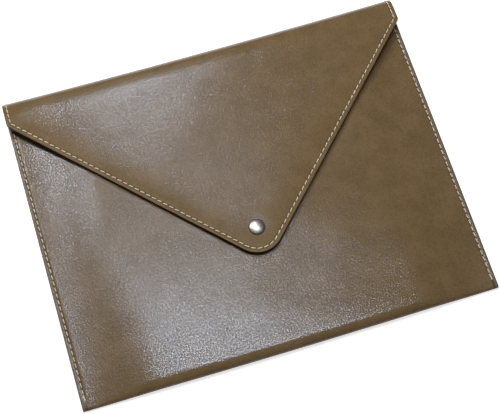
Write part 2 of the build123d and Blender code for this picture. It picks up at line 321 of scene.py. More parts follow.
def flap_line(inset, step):
    """Line at an inset from the flap's edge, from the fold's right end round the tip to its left end."""
    corner_x, corner_y, corner_radius = flap_corner(inset)
    tip_radius = FLAP_TIP_RADIUS - inset
    slant = FLAP_ANGLE - math.pi / 2
    out = Vector((math.cos(slant), math.sin(slant)))
    root = Vector((HALF_WIDTH - inset, FOLD_Y))
    side_end = Vector((HALF_WIDTH - inset, corner_y))
    edge_start = Vector((corner_x, corner_y)) + out * corner_radius
    edge_end = Vector((0, SNAP_Y)) + out * tip_radius
    edge_steps = round((FLAP_CORNER_Y - SNAP_Y) / step)
    half = along(root, side_end, CORNER_STEPS)
    half += around((corner_x, corner_y), corner_radius, 0, slant, CORNER_STEPS)
    half += along(edge_start, edge_end, edge_steps)
    half += around((0, SNAP_Y), tip_radius, slant, -FLAP_ANGLE, TIP_STEPS)
    tip = Vector((0, SNAP_Y - tip_radius))
    return half + [tip] + [Vector((-p.x, p.y)) for p in reversed(half)]


def edge_trim(inset):
    """Depth of the rounded-off edge at a distance from it."""
    run = min(max(1 - inset / EDGE_ROUND, 0.0), 1.0)
    return EDGE_ROUND * (1 - math.sqrt(1 - run * run))


def groove(inset):
    """Depth of the stitch groove at a distance from the edge."""
    run = min(abs(inset - STITCH_INSET) / GROOVE_HALF, 1.0)
    return GROOVE_DEPTH * (1 - run * run) ** 2


def body_depth(x, row):
    """Depth of the body leather's outside below its full surface: rounded edges and grooves."""
    leg, value = row
    side = HALF_WIDTH - abs(x)
    mouth = MOUTH_Y - value if leg == "front" else HALF_WIDTH
    sewn = 0.0
    if leg in ("front", "back"):
        sewn = grown(value - BOTTOM_Y, SEAM_START - GROOVE_END, GROOVE_END)
    mouth_sewn = grown(side, STITCH_INSET + GROOVE_END / 2, GROOVE_END)
    return edge_trim(min(side, mouth)) + max(groove(side) * sewn, groove(mouth) * mouth_sewn)


def flap_depth(inset):
    """Depth of the flap leather's outside below its full surface at a distance from the edge."""
    return edge_trim(inset) + groove(inset)


def depth_at(depth):
    """The same depth everywhere on a sheet."""
    return lambda *place: depth


# Layouts of points

def spread(start, end, step):
    """Even places from start to end, without the first."""
    count = max(1, round(abs(end - start) / step))
    return [start + (end - start) * (index + 1) / count for index in range(count)]


def pocket_rows(mouth_lines, step, bend_steps):
    """Rows of the pocket's sheet, from its mouth round the bottom to the top fold."""
    rows = [("front", MOUTH_Y - inset) for inset in mouth_lines]
    rows += [("front", y) for y in spread(MOUTH_Y - mouth_lines[-1], BEND_Y, step)]
    rows += [("front_end", 1 - share) for share in END_SHARES]
    rows += [("bend", math.pi * index / bend_steps) for index in range(bend_steps + 1)]
    rows += [("back_end", share) for share in END_SHARES]
    return rows + [("back", y) for y in [BEND_Y] + spread(BEND_Y, FOLD_Y, step)]


def columns(edge_lines, step):
    """X of the lines of points that run down a sheet."""
    inner = HALF_WIDTH - edge_lines[-1]
    left = [inset - HALF_WIDTH for inset in edge_lines]
    return left + spread(-inner, inner, step) + [-x for x in left[-2::-1]]


def leather_v(row, x):
    """Place along the unfolded leather, so that its grain runs on round the bottom fold."""
    leg, value = row
    start_y = bend_start(x)[0]
    if leg == "back":
        return value
    if leg == "bend":
        return start_y - BEND_LENGTH * (1 - value / math.pi)
    y = value if leg == "front" else start_y + (BEND_Y - start_y) * value
    return y if leg == "back_end" else 2 * start_y - BEND_LENGTH - y


def grid_faces(across, down):
    """Quads of a layout of rows of points, each row as long as across."""
    quads = []
    for row in range(down - 1):
        for column in range(across - 1):
            corner = row * across + column
            quads.append((corner, corner + 1, corner + across + 1, corner + across))
    return quads


def turn(points, face):
    """Twice a flat face's area, negative if it runs clockwise."""
    corners = [points[index] for index in face]
    return sum(a.x * b.y - b.x * a.y for a, b in zip(corners, corners[1:] + corners[:1]))


def flap_layout(edge_lines, root_xs, step):
    """Points and faces of the flat flap: lines along its edge and an even net inside them."""
    lines = [flap_line(inset, step) for inset in edge_lines]
    across = len(lines[0])
    points = [point for line in lines for point in line]
    faces = grid_faces(across, len(lines))
    border = list(range(len(points) - across, len(points)))
    inner = HALF_WIDTH - edge_lines[-1]
    root = [x for x in root_xs if abs(x) < inner - SAME_PLACE]
    border += range(len(points), len(points) + len(root))
    points += [Vector((x, FOLD_Y)) for x in root]
    net = list(border)
    for y in spread(FOLD_Y, SNAP_Y - FLAP_TIP_RADIUS, step):
        for x in spread(-HALF_WIDTH, HALF_WIDTH, step):
            if flap_inset(x, y) > edge_lines[-1] + step / 2:
                net.append(len(points))
                points.append(Vector((x, y)))
    ring = [(index, (index + 1) % len(border)) for index in range(len(border))]
    inside_only = 1
    made = delaunay_2d_cdt([points[index] for index in net], ring, [], inside_only, SAME_PLACE / 10)
    sources = [net[origin[0]] for origin in made[3]]
    faces += [tuple(sources[index] for index in face) for face in made[2]]
    return points, [face if turn(points, face) > 0 else face[::-1] for face in faces]


# Meshes
PATTERN_UNIT = 10.0       # millimetres of leather or cloth to one unit of its pattern
LEAST_SIDE = 2.2          # a side of a rounded profile is at least this many times its rounding


def add_piece(name, points, faces, materials, marks=None, grain=None, sharp=50.0):
    """Closed mesh piece from points in millimetres, with named values and grain places per point."""
    mesh = bpy.data.meshes.new(name)
    mesh.from_pydata([p * MM for p in points], [], [face for face, slot in faces])
    mesh.polygons.foreach_set("material_index", [slot for face, slot in faces])
    mesh.polygons.foreach_set("use_smooth", [True] * len(faces))
    for material in materials:
        mesh.materials.append(material)
    if grain:
        layer = mesh.uv_layers.new(name="pattern")
        for loop in mesh.loops:
            layer.data[loop.index].uv = grain[loop.vertex_index]
    for key, values in (marks or {}).items():
        mesh.attributes.new(key, "FLOAT", "POINT").data.foreach_set("value", values)
    shell = bmesh.new()
    shell.from_mesh(mesh)
    bmesh.ops.recalc_face_normals(shell, faces=shell.faces)
    shell.to_mesh(mesh)
    shell.free()
    mesh.set_sharp_from_angle(angle=math.radians(sharp))
    piece = bpy.data.objects.new(name, mesh)
    bpy.context.scene.collection.objects.link(piece)
    return piece


def slab(name, places, faces, outside, inside, materials, insets, grain):
    """Closed sheet between two faces that share one layout of points.

    outside and inside give a point of each face from a place in the layout."""
    count = len(places)
    points = [outside(*place) for place in places] + [inside(*place) for place in places]
    sides = [(face, 0) for face in faces]
    sides += [(tuple(index + count for index in reversed(face)), 0) for face in faces]
    edges = dict.fromkeys(edge for face in faces for edge in zip(face, face[1:] + face[:1]))
    rims = [edge for edge in edges if edge[::-1] not in edges]
    sides += [((end, start, start + count, end + count), 1) for start, end in rims]
    pattern = [(u / PATTERN_UNIT, v / PATTERN_UNIT) for u, v in grain * 2]
    return add_piece(name, points, sides, materials, {"inset": insets * 2}, pattern)


def pocket_sheet(name, xs, rows, outer, inner, materials):
    """One sheet of the pocket; outer is how deep its outside lies at an x and a row."""
    places = [(x, row) for row in rows for x in xs]
    return slab(
        name, places, grid_faces(len(xs), len(rows)),
        lambda x, row: pocket_point(x, row, outer(x, row)),
        lambda x, row: pocket_point(x, row, inner),
        materials,
        [HALF_WIDTH - abs(x) for x, row in places],
        [(x, leather_v(row, x)) for x, row in places],
    )


def fold_sheet(name, xs, number, outer, inner, materials):
    """One of the bends of the top fold; outer is how deep its outside lies at a distance from the edge."""
    first = -90 + FOLD_STEP * (number - 1)
    last = first + FOLD_STEP
    angles = [first, first + FOLD_END_ROW]
    angles += spread(first + FOLD_END_ROW, last - FOLD_END_ROW, FOLD_ROW) + [last]
    places = [(x, angle) for angle in angles for x in xs]
    arc = math.radians(1) * FOLD_RADIUS
    return slab(
        name, places, grid_faces(len(xs), len(angles)),
        lambda x, angle: fold_point(x, angle, outer(HALF_WIDTH - abs(x))),
        lambda x, angle: fold_point(x, angle, inner),
        materials,
        [HALF_WIDTH - abs(x) for x, angle in places],
        [(x, FOLD_Y + (angle + 90) * arc) for x, angle in places],
    )


def flap_sheet(name, edge_lines, xs, step, outer, inner, materials):
    """One sheet of the flap; outer is how deep its outside lies at a distance from the edge."""
    points, faces = flap_layout(edge_lines, xs, step)
    arc = math.pi * FOLD_RADIUS
    return slab(
        name, points, faces,
        lambda x, y: flap_point(x, y, outer(flap_inset(x, y))),
        lambda x, y: flap_point(x, y, inner),
        materials,
        [max(flap_inset(*p), 0.0) for p in points],
        [(p.x, 2 * FOLD_Y + arc - p.y) for p in points],
    )


def turned(name, profile, materials):
    """Round piece about the press stud's axis from a closed profile of (radius, height) points."""
    points = []
    for step in range(TURNED_STEPS):
        angle = 2 * math.pi * step / TURNED_STEPS
        points += [Vector((r * math.cos(angle), SNAP_Y + r * math.sin(angle), z)) for r, z in profile]
    size = len(profile)
    faces = []
    for step in range(TURNED_STEPS):
        here = step * size
        there = (step + 1) % TURNED_STEPS * size
        for index in range(size):
            after = (index + 1) % size
            faces.append(((here + index, there + index, there + after, here + after), 0))
    return add_piece(name, points, faces, materials, sharp=40.0)


def rounded(corners, radius):
    """Closed profile with its corners rounded off, by less where its sides are short."""
    points = []
    for index, corner in enumerate(corners):
        here = Vector(corner)
        before = Vector(corners[index - 1]) - here
        after = Vector(corners[(index + 1) % len(corners)]) - here
        reach = min(radius, before.length / LEAST_SIDE, after.length / LEAST_SIDE)
        start = here + before.normalized() * reach
        end = here + after.normalized() * reach
        for step in range(ROUND_STEPS + 1):
            share = step / ROUND_STEPS
            points.append(start.lerp(here, share).lerp(here.lerp(end, share), share))
    return [tuple(point) for point in points]


# Stitches: each run is its length, and a function for the point and outward direction at a distance

def seam_run(x, start_y, end_y, leg, height=None):
    """Stitch line down a side of the pocket; height is the level of a face that is not the leather's."""
    outward = Vector((0, 0, -1 if leg == "back" else 1))

    def spot(distance):
        point = pocket_point(x, (leg, start_y + distance), 0)
        if height is not None:
            point.z = height
        return point, outward

    return end_y - start_y, spot


def mouth_run(depth, up):
    """Stitch line along the pocket's mouth."""
    reach = STITCH_X - STITCH_PITCH

    def spot(distance):
        x = distance - reach
        row = ("front", MOUTH_Y - STITCH_INSET)
        slope = (front_top(x + SLOPE_REACH) - front_top(x - SLOPE_REACH)) / (2 * SLOPE_REACH)
        return pocket_point(x, row, depth), Vector((-slope, 0, 1)).normalized() * up

    return 2 * reach, spot


def fold_run(x, depth, up):
    """Stitch line round the top fold."""
    scale = math.degrees(1 / FOLD_RADIUS)

    def spot(distance):
        angle = distance * scale - 90
        outward = Vector((0, math.cos(math.radians(angle)), math.sin(math.radians(angle))))
        return fold_point(x, angle, depth), outward * up

    return math.pi * FOLD_RADIUS, spot


def flap_run(line, depth, up):
    """Stitch line through flat points of the flap."""
    lengths = [(b - a).length for a, b in zip(line, line[1:])]

    def spot(distance):
        left = min(max(distance, 0), sum(lengths) - TINY)
        index = 0
        while left > lengths[index]:
            left -= lengths[index]
            index += 1
        flat = line[index].lerp(line[index + 1], left / lengths[index])
        return flap_point(flat.x, flat.y, depth), Vector((0, 0, up))

    return sum(lengths), spot


def flap_stitch_lines():
    """Flat stitch line of the flap in three parts: down its right side, round its tip and up its left."""
    line = flap_line(STITCH_INSET, STITCH_LINE_STEP)
    corner_y = flap_corner(STITCH_INSET)[1]
    corners = [index for index, point in enumerate(line) if abs(point.y - corner_y) < SAME_PLACE]
    first, last = corners[0], corners[-1]
    return [line[:first + 1], line[first:last + 1], line[last:]]


def run_places(run):
    """Middles of a run's stitches, evenly spaced."""
    length = run[0]
    count = max(1, round(length / STITCH_PITCH))
    return [length * (index + 0.5) / count for index in range(count)]


def tube_faces(first):
    """Faces of one ply, a closed tube whose rings of points start at an index."""
    faces = []
    for ring in range(STITCH_RINGS - 1):
        here = first + ring * PLY_SIDES
        there = here + PLY_SIDES
        for side in range(PLY_SIDES):
            after = (side + 1) % PLY_SIDES
            faces.append(((here + side, here + after, there + after, there + side), 0))
    last = first + (STITCH_RINGS - 1) * PLY_SIDES
    faces.append((tuple(first + side for side in reversed(range(PLY_SIDES))), 0))
    faces.append((tuple(last + side for side in range(PLY_SIDES)), 0))
    return faces


def add_stitch(run, middle, points, faces, size=1.0, rise=STITCH_RISE):
    """Two-ply twisted stitch that comes out of one hole and goes down the next."""
    spot = run[1]
    length = STITCH_LENGTH * size
    radius = PLY_RADIUS * size
    forward = (spot(middle + DIRECTION_REACH)[0] - spot(middle - DIRECTION_REACH)[0]).normalized()
    across = spot(middle)[1].cross(forward)
    for ply in range(2):
        faces += tube_faces(len(points))
        for ring in range(STITCH_RINGS):
            share = ring / (STITCH_RINGS - 1)
            offset = (share - 0.5) * length
            point, outward = spot(middle + offset)
            dive = max(0.0, abs(2 * share - 1) - STITCH_SHOWN) / (1 - STITCH_SHOWN)
            height = rise - STITCH_DIVE * dive ** 2
            twist = 2 * math.pi * PLY_TURNS * share + math.pi * ply
            core = point + outward * (height + radius * PLY_HEIGHT * math.sin(twist))
            core += across * (radius * PLY_WIDTH * math.cos(twist) + math.tan(STITCH_SLANT) * offset)
            for side in range(PLY_SIDES):
                angle = 2 * math.pi * side / PLY_SIDES
                points.append(core + (across * math.cos(angle) + outward * math.sin(angle)) * radius)


def stitch_piece(name, points, faces, replaced):
    """Piece of stitches that stands for CAD threads."""
    piece = add_piece(name, points, faces, [THREAD_LOOK], sharp=80.0)
    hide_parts(*replaced)
    return piece


def stitches(name, runs, body, thread, rise=STITCH_RISE, first_size=1.0):
    """Stitches of several runs on one body; first_size is the size of the very first stitch."""
    points, faces = [], []
    for run in runs:
        for middle in run_places(run):
            add_stitch(run, middle, points, faces, size=1.0 if points else first_size, rise=rise)
    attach(stitch_piece(name, points, faces, [thread]), body)


def fold_stitches(number):
    """Stitches of both sides of one bend of the top fold, outside and inside."""
    points, faces = [], []
    for x in (-STITCH_X, STITCH_X):
        for depth, up in ((0, 1), (WALL, -1)):
            run = fold_run(x, depth, up)
            share = run[0] / FOLD_PIECES
            for middle in run_places(run):
                if math.ceil(middle / share) == number:
                    underneath = depth == 0 and middle < STITCH_PITCH
                    add_stitch(run, middle, points, faces, rise=SUNK if underneath else STITCH_RISE)
    name = f"top_fold_stitches_bend_{number}"
    bend_between(stitch_piece(name, points, faces, fold_nodes("stitches", number)), number, LEATHER)


# Nodes of the materials
NOISE_ROUGHNESS = 0.55
CLOUD_RANGE = (0.35, 0.65)   # values of a noise between which a material changes
FINE_RANGE = (0.3, 0.7)
GLOSS_RANGE = (0.25, 0.75)
GLOSS_SPREAD = 0.15          # share by which a plain material's roughness varies


def shader(name):
    """New material with its node tree and main shader."""
    material = bpy.data.materials.new(name)
    material.use_nodes = True
    tree = material.node_tree
    return material, tree, tree.nodes["Principled BSDF"]


def put(tree, socket, value):
    """Gives a socket a value or another node's output."""
    if isinstance(value, bpy.types.NodeSocket):
        tree.links.new(value, socket)
    else:
        socket.default_value = value


def node(tree, kind, inputs=(), **settings):
    """Node of a kind with settings; its inputs, by name or number, are values or other nodes' outputs."""
    made = tree.nodes.new(kind)
    for key, value in settings.items():
        setattr(made, key, value)
    for key, value in dict(inputs).items():
        put(tree, made.inputs[key], value)
    return made


def math_node(tree, operation, *values, clamp=False):
    """Result of an operation on values or other nodes' outputs."""
    made = node(tree, "ShaderNodeMath", enumerate(values), operation=operation, use_clamp=clamp)
    return made.outputs[0]


def weighted(tree, *terms):
    """Sum of outputs, each times its weight."""
    total = 0.0
    for output, weight in terms:
        total = math_node(tree, "MULTIPLY_ADD", output, weight, total)
    return total


def ramp(tree, value, low, high, to_low=0.0, to_high=1.0):
    """Value mapped smoothly from one range to another."""
    ends = {0: value, 1: low, 2: high, 3: to_low, 4: to_high}
    return node(tree, "ShaderNodeMapRange", ends, interpolation_type="SMOOTHSTEP").outputs[0]


def mix(tree, share, first, second, blend="MIX"):
    """Two colours mixed by a share; the node's colour sockets are 6 and 7 going in and 2 coming out."""
    sockets = {0: share, 6: first, 7: second}
    return node(tree, "ShaderNodeMix", sockets, data_type="RGBA", blend_type=blend).outputs[2]


def colour(red, green, blue):
    """Linear colour of an 8-bit screen colour."""
    parts = [value / 255 for value in (red, green, blue)]
    return [p / 12.92 if p <= 0.04045 else ((p + 0.055) / 1.055) ** 2.4 for p in parts] + [1.0]


def noise(tree, vector, scale, detail=3.0):
    """Cloudy noise from 0 to 1."""
    inputs = {"Vector": vector, "Scale": scale, "Detail": detail, "Roughness": NOISE_ROUGHNESS}
    return node(tree, "ShaderNodeTexNoise", inputs).outputs[0]


def pattern_place(tree):
    """Place on the unfolded leather or cloth."""
    return node(tree, "ShaderNodeUVMap", uv_map="pattern").outputs[0]


def relief(tree, surface, height, strength, depth):
    """Fine bumps on a surface, depth in metres."""
    inputs = {"Strength": strength, "Distance": depth, "Height": height}
    put(tree, surface.inputs["Normal"], node(tree, "ShaderNodeBump", inputs).outputs[0])


# Leather: scales count per centimetre, shades are shares of a tint that darkens the colour under it
OLIVE = colour(119, 98, 67), colour(127, 105, 74)
CLOUD_SCALE = 0.5
GRAIN_SCALE = 8.5
VALLEY_RANGE = (0.4, 0.75)
VALLEY_SHADE = 0.25
VALLEY_TINT = (0.4, 0.37, 0.34, 1)
# painted shade: the leather is darkened along the stitch groove, where shade falls
GROOVE_SHADE_RANGE = (0.35, 1.2)  # millimetres from the stitch line
GROOVE_SHADE_TINT = (0.2, 0.16, 0.13, 1)
# painted sheen: the strip outside the stitches is greyed as if it caught light
BORDER_SHEEN_RANGE = (1.6, 3.0)    # millimetres from the edge, as for the rim
BORDER_SHEEN_GREY = colour(112, 107, 100)
RIM_RANGE = (0.1, 0.5)
RIM_SHADE = 0.55
RIM_TINT = (0.5, 0.47, 0.45, 1)
LEATHER_ROUGHNESS = (0.15, 0.21)
LEATHER_GLOSS = 0.38
LEATHER_RELIEF = 0.00015
DENT_SCALE = 0.4
CELL_HEIGHT = -0.25
FINE_HEIGHT = 0.8
DENT_HEIGHT = 1.8
SPECK_SCALE = 11.0
SPECK_RANGE = (0.4, 0.62)
SHEEN_HOLLOW = (0.02, 0.025, 0.03, 1)
SHEEN_RAISED = (1.42, 1.72, 2.15, 1)
SHEEN_DULL = (0.12, 0.12, 0.12, 1)
DULL_START = 3.0


def leather_material(name, painted_groove_shade, painted_border_sheen, border_dull, dull_reach):
    """Smooth finished leather: fine grain, faint clouds of colour and soft unevenness.

    Its groove argument paints shade into the stitch groove, its border argument paints a grey sheen on the
    strip outside it, and border_dull takes the shine from a border that is dull_reach wide."""
    material, tree, surface = shader(name)
    place = pattern_place(tree)
    cell_inputs = {"Vector": place, "Scale": GRAIN_SCALE}
    cells = node(tree, "ShaderNodeTexVoronoi", cell_inputs, feature="F1").outputs["Distance"]
    fine = noise(tree, place, GRAIN_SCALE, 2.0)
    clouds = noise(tree, place, CLOUD_SCALE)
    dents = noise(tree, place, DENT_SCALE, 2.0)
    specks = noise(tree, place, SPECK_SCALE, 1.0)
    inset = node(tree, "ShaderNodeAttribute", attribute_name="inset").outputs["Fac"]
    off_line = math_node(tree, "ABSOLUTE", math_node(tree, "SUBTRACT", inset, STITCH_INSET))

    base = mix(tree, ramp(tree, clouds, *CLOUD_RANGE), *OLIVE)
    base = mix(tree, ramp(tree, cells, *VALLEY_RANGE, 0.0, VALLEY_SHADE), base, VALLEY_TINT, "MULTIPLY")
    # painted shade along the stitch groove
    base = mix(tree, ramp(tree, off_line, *GROOVE_SHADE_RANGE, painted_groove_shade, 0.0), base, GROOVE_SHADE_TINT, "MULTIPLY")
    # painted sheen: grey on the border outside the stitches
    base = mix(tree, ramp(tree, inset, *BORDER_SHEEN_RANGE, painted_border_sheen, 0.0), base, BORDER_SHEEN_GREY)
    base = mix(tree, ramp(tree, inset, *RIM_RANGE, RIM_SHADE, 0.0), base, RIM_TINT, "MULTIPLY")
    put(tree, surface.inputs["Base Color"], base)

    put(tree, surface.inputs["Roughness"], ramp(tree, fine, *FINE_RANGE, *LEATHER_ROUGHNESS))
    height = weighted(tree, (cells, CELL_HEIGHT), (fine, FINE_HEIGHT), (dents, DENT_HEIGHT))
    relief(tree, surface, height, strength=1.0, depth=LEATHER_RELIEF)

    surface.inputs["Specular IOR Level"].default_value = LEATHER_GLOSS
    sheen = mix(tree, ramp(tree, specks, *SPECK_RANGE), SHEEN_HOLLOW, SHEEN_RAISED)
    sheen = mix(tree, ramp(tree, inset, DULL_START, dull_reach, border_dull, 0.0), sheen, SHEEN_DULL)
    put(tree, surface.inputs["Specular Tint"], sheen)
    return material


def plain_material(name, dark, light, scale, roughness, metallic=0.0, depth=0.00005):
    """Material with fine uneven colour, gloss and surface in object space."""
    material, tree, surface = shader(name)
    place = node(tree, "ShaderNodeTexCoord").outputs["Object"]
    fine = noise(tree, place, scale)
    uneven = (roughness * (1 - GLOSS_SPREAD), roughness * (1 + GLOSS_SPREAD))
    put(tree, surface.inputs["Base Color"], mix(tree, ramp(tree, fine, *FINE_RANGE), dark, light))
    put(tree, surface.inputs["Roughness"], ramp(tree, fine, *GLOSS_RANGE, *uneven))
    surface.inputs["Metallic"].default_value = metallic
    relief(tree, surface, fine, strength=0.5, depth=depth)
    return material


# Lining: scales count per centimetre
TWILL_ANGLE = math.radians(52)
TWILL_SCALE = 5.5
TWILL_WANDER = 0.6
TWILL_HEIGHT = 0.7
FIBRE_SCALE = 30.0
FIBRE_HEIGHT = 0.6
UNEVEN_SCALE = 0.8
UNEVEN_SHADE = 0.3
UNEVEN_TINT = (0.7, 0.68, 0.66, 1)
WEAVE_RANGE = (0.3, 1.1)
LINING_COLOURS = colour(38, 29, 22), colour(74, 59, 45)
LINING_ROUGHNESS = 0.85
LINING_SHEEN = 0.15
LINING_RELIEF = 0.00012


def lining_material():
    """Fine twill cloth."""
    material, tree, surface = shader("lining")
    place = pattern_place(tree)
    turned_place = {"Vector": place, "Rotation": (0, 0, TWILL_ANGLE)}
    slanted = node(tree, "ShaderNodeMapping", turned_place).outputs[0]
    twill_inputs = {"Vector": slanted, "Scale": TWILL_SCALE, "Distortion": TWILL_WANDER}
    twill = node(tree, "ShaderNodeTexWave", twill_inputs, wave_type="BANDS").outputs["Fac"]
    fibre = noise(tree, place, FIBRE_SCALE)
    uneven = noise(tree, place, UNEVEN_SCALE)
    height = weighted(tree, (twill, TWILL_HEIGHT), (fibre, FIBRE_HEIGHT))
    base = mix(tree, ramp(tree, height, *WEAVE_RANGE), *LINING_COLOURS)
    base = mix(tree, ramp(tree, uneven, *CLOUD_RANGE, 0.0, UNEVEN_SHADE), base, UNEVEN_TINT, "MULTIPLY")
    put(tree, surface.inputs["Base Color"], base)
    surface.inputs["Roughness"].default_value = LINING_ROUGHNESS
    surface.inputs["Sheen Weight"].default_value = LINING_SHEEN
    relief(tree, surface, height, strength=0.6, depth=LINING_RELIEF)
    return material


# Looks of the pieces
CUT_EDGE = colour(8, 6, 5), colour(17, 13, 11)
CREAM = colour(234, 222, 196), colour(254, 248, 230)
NICKEL = colour(152, 151, 149), colour(168, 167, 164)
BRONZE = colour(176, 132, 76), colour(196, 152, 92)
# the pocket gets painted shade in its stitch grooves and a painted grey sheen on its sewn borders; the
# flap gets a little painted shade and no sheen
POCKET_LOOK = leather_material(
    "pocket_leather", painted_groove_shade=0.55, painted_border_sheen=0.4, border_dull=0.5, dull_reach=6.0,
)
FLAP_LOOK = leather_material(
    "flap_leather", painted_groove_shade=0.25, painted_border_sheen=0.0, border_dull=1.0, dull_reach=30.0,
)
EDGE_LOOK = plain_material("leather_edge", *CUT_EDGE, 1500.0, 0.8)
LINING_LOOK = lining_material()
LINING_EDGE_LOOK = plain_material("lining_edge", *CUT_EDGE, 2500.0, 0.85)
THREAD_LOOK = plain_material("thread", *CREAM, 2600.0, 0.6)
NICKEL_LOOK = plain_material("nickel", *NICKEL, 900.0, 0.36, metallic=1.0, depth=0.000001)
BRONZE_LOOK = plain_material("spring_bronze", *BRONZE, 900.0, 0.3, metallic=1.0, depth=0.000004)


# Leather and lining

def bend_between(piece, number, depth):
    """Bakes a piece of the top fold's transform into its mesh; the ends of its bend are worked out but not
    used.
    """
    first = -90 + FOLD_STEP * (number - 1)
    start = fold_point(HALF_WIDTH, first, depth)
    end = fold_point(HALF_WIDTH, first + FOLD_STEP, depth)
    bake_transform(piece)


def fold_nodes(kind, number):
    """CAD strips that lie under a bend of the top fold."""
    strips = [index for index in (number - 1, number) if 0 < index < FOLD_PIECES]
    return [f"top_fold_{kind}_{index}" for index in strips]


def flap_area():
    """Flat area of the flap and the length from the fold to its tip."""
    outline = flap_line(0, LEATHER_STEP)
    return abs(turn(outline, range(len(outline)))) / 2, FOLD_Y - SNAP_Y + FLAP_TIP_RADIUS


def dress(kind, xs, edge_lines, step, rows, pocket_outer, flap_outer, inner, pocket_looks, flap_looks):
    """The pocket, top fold and flap of one sheet, either the leather or the lining.

    pocket_outer and flap_outer give the depth of its outside, and inner is the depth of its inside."""
    pocket_node = {"leather": "body_leather", "lining": "pocket_lining"}[kind]
    pocket = pocket_sheet(f"pocket_{kind}_sheet", xs, rows, pocket_outer, inner, pocket_looks)
    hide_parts(pocket_node)
    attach(pocket, "pocket")
    for number in range(1, FOLD_PIECES + 1):
        bend = fold_sheet(f"top_fold_{kind}_bend_{number}", xs, number, flap_outer, inner, flap_looks)
        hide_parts(*fold_nodes(kind, number))
        bend_between(bend, number, inner)
    flap = flap_sheet(f"flap_{kind}_sheet", edge_lines, xs, step, flap_outer, inner, flap_looks)
    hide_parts(f"flap_{kind}")
    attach(flap, "flap")
    area, length = flap_area()


LINING_LOOKS = [LINING_LOOK, LINING_EDGE_LOOK]
dress(
    "leather", columns(EDGE_LINES + BULGE_LINES, LEATHER_STEP), EDGE_LINES, LEATHER_STEP,
    pocket_rows(EDGE_LINES, LEATHER_STEP, LEATHER_BEND_STEPS),
    body_depth, flap_depth, LEATHER, [POCKET_LOOK, EDGE_LOOK], [FLAP_LOOK, EDGE_LOOK],
)
dress(
    "lining", columns(LINING_LINES, LINING_STEP), LINING_FLAP_LINES, LINING_STEP,
    pocket_rows(LINING_MOUTH_LINES, LINING_STEP, LINING_BEND_STEPS),
    depth_at(LEATHER), depth_at(LEATHER), WALL, LINING_LOOKS, LINING_LOOKS,
)


# Stitching
SEAM_LOW_Y = BOTTOM_Y + SEAM_START
for side, x in (("left", -STITCH_X), ("right", STITCH_X)):
    front = seam_run(x, SEAM_LOW_Y, MOUTH_Y, "front")
    above = seam_run(x, MOUTH_Y, FOLD_Y, "front", WALL)
    back = seam_run(x, SEAM_LOW_Y, FOLD_Y, "back")
    seam = f"{side}_seam"
    stitches(
        f"{seam}_front_stitches", [front, above], "pocket", f"{seam}_needle_thread", first_size=END_STITCH,
    )
    stitches(f"{seam}_back_stitches", [back], "pocket", f"{seam}_bobbin_thread", rise=SUNK)
for label, depth, up, thread in (("outer", 0, 1, "needle"), ("inner", WALL, -1, "bobbin")):
    stitches(f"mouth_{label}_stitches", [mouth_run(depth, up)], "pocket", f"mouth_{thread}_thread")
    flap_runs = [flap_run(line, depth, up) for line in flap_stitch_lines()]
    stitches(f"flap_{label}_stitches", flap_runs, "flap", f"flap_{thread}_thread")
for number in range(1, FOLD_PIECES + 1):
    fold_stitches(number)


# Press stud
SHEET_METAL = 0.3
CAP_RADIUS = 6.25
CAP_DOME = 16.0           # radius of the crown
CAP_SHOULDER = 1.0        # radius between the crown and the side
CAP_FOOT = 1.4            # width of the foot, which is turned in under the cap
CAP_FOOT_ROUND = 0.2
CAP_CLEAR = 0.02          # the foot lies this far over the leather
CAP_MIDDLE = 0.02         # radius of the smallest ring of the crown
CAP_STEPS = 8
CAP_INNER_STEPS = 6
SOCKET_RADIUS = 5.0
SOCKET_LIP = 3.0
SOCKET_HOLE = 1.85
SOCKET_ROUND = 0.35
STUD_BASE = 4.8
STUD_BASE_HEIGHT = 0.35
STUD_NECK = 2.4
STUD_HEAD = 2.8
STUD_HEAD_HEIGHT = 0.6
STUD_BEVEL = 0.2
STUD_HOLE = 1.45
STUD_ROUND = 0.3


def cap_skin(depth, steps):
    """Profile of the cap from its side over the shoulder to the crown, depth below its outside."""
    side_z = FLAP_TOP + 2 * SHEET_METAL
    shoulder_x = CAP_RADIUS - CAP_SHOULDER
    reach = CAP_DOME - CAP_SHOULDER
    drop = math.sqrt(reach ** 2 - shoulder_x ** 2)
    lean = math.asin(shoulder_x / reach)
    skin = around((shoulder_x, side_z), CAP_SHOULDER - depth, 0, math.pi / 2 - lean, steps)
    skin += around((0, side_z - drop), CAP_DOME - depth, math.pi / 2 - lean, lean, 2 * steps)
    return [tuple(p) for p in skin] + [(CAP_MIDDLE, side_z - drop + CAP_DOME - depth)]


def cap_profile():
    """Domed cap of sheet metal with its foot turned in."""
    rim = FLAP_TOP + CAP_CLEAR
    foot_x = CAP_RADIUS - CAP_FOOT
    foot = [(foot_x, rim + SHEET_METAL), (foot_x, rim)]
    foot += [(CAP_RADIUS - CAP_FOOT_ROUND, rim), (CAP_RADIUS, rim + CAP_FOOT_ROUND)]
    inside = [(CAP_RADIUS - SHEET_METAL, rim + SHEET_METAL)]
    return foot + cap_skin(0, CAP_STEPS) + cap_skin(SHEET_METAL, CAP_INNER_STEPS)[::-1] + inside


def socket_profile():
    """Cup under the flap with a lip turned in round the stud's head."""
    low, high = box_mm("stud_socket")
    floor_z = low.z + SHEET_METAL
    roof_z = high.z - SHEET_METAL
    inner = SOCKET_RADIUS - SHEET_METAL
    outside = [(SOCKET_HOLE, high.z), (SOCKET_RADIUS, high.z), (SOCKET_RADIUS, low.z), (SOCKET_LIP, low.z)]
    inside = [(SOCKET_LIP, floor_z), (inner, floor_z), (inner, roof_z), (SOCKET_HOLE, roof_z)]
    return rounded(outside + inside, SOCKET_ROUND)


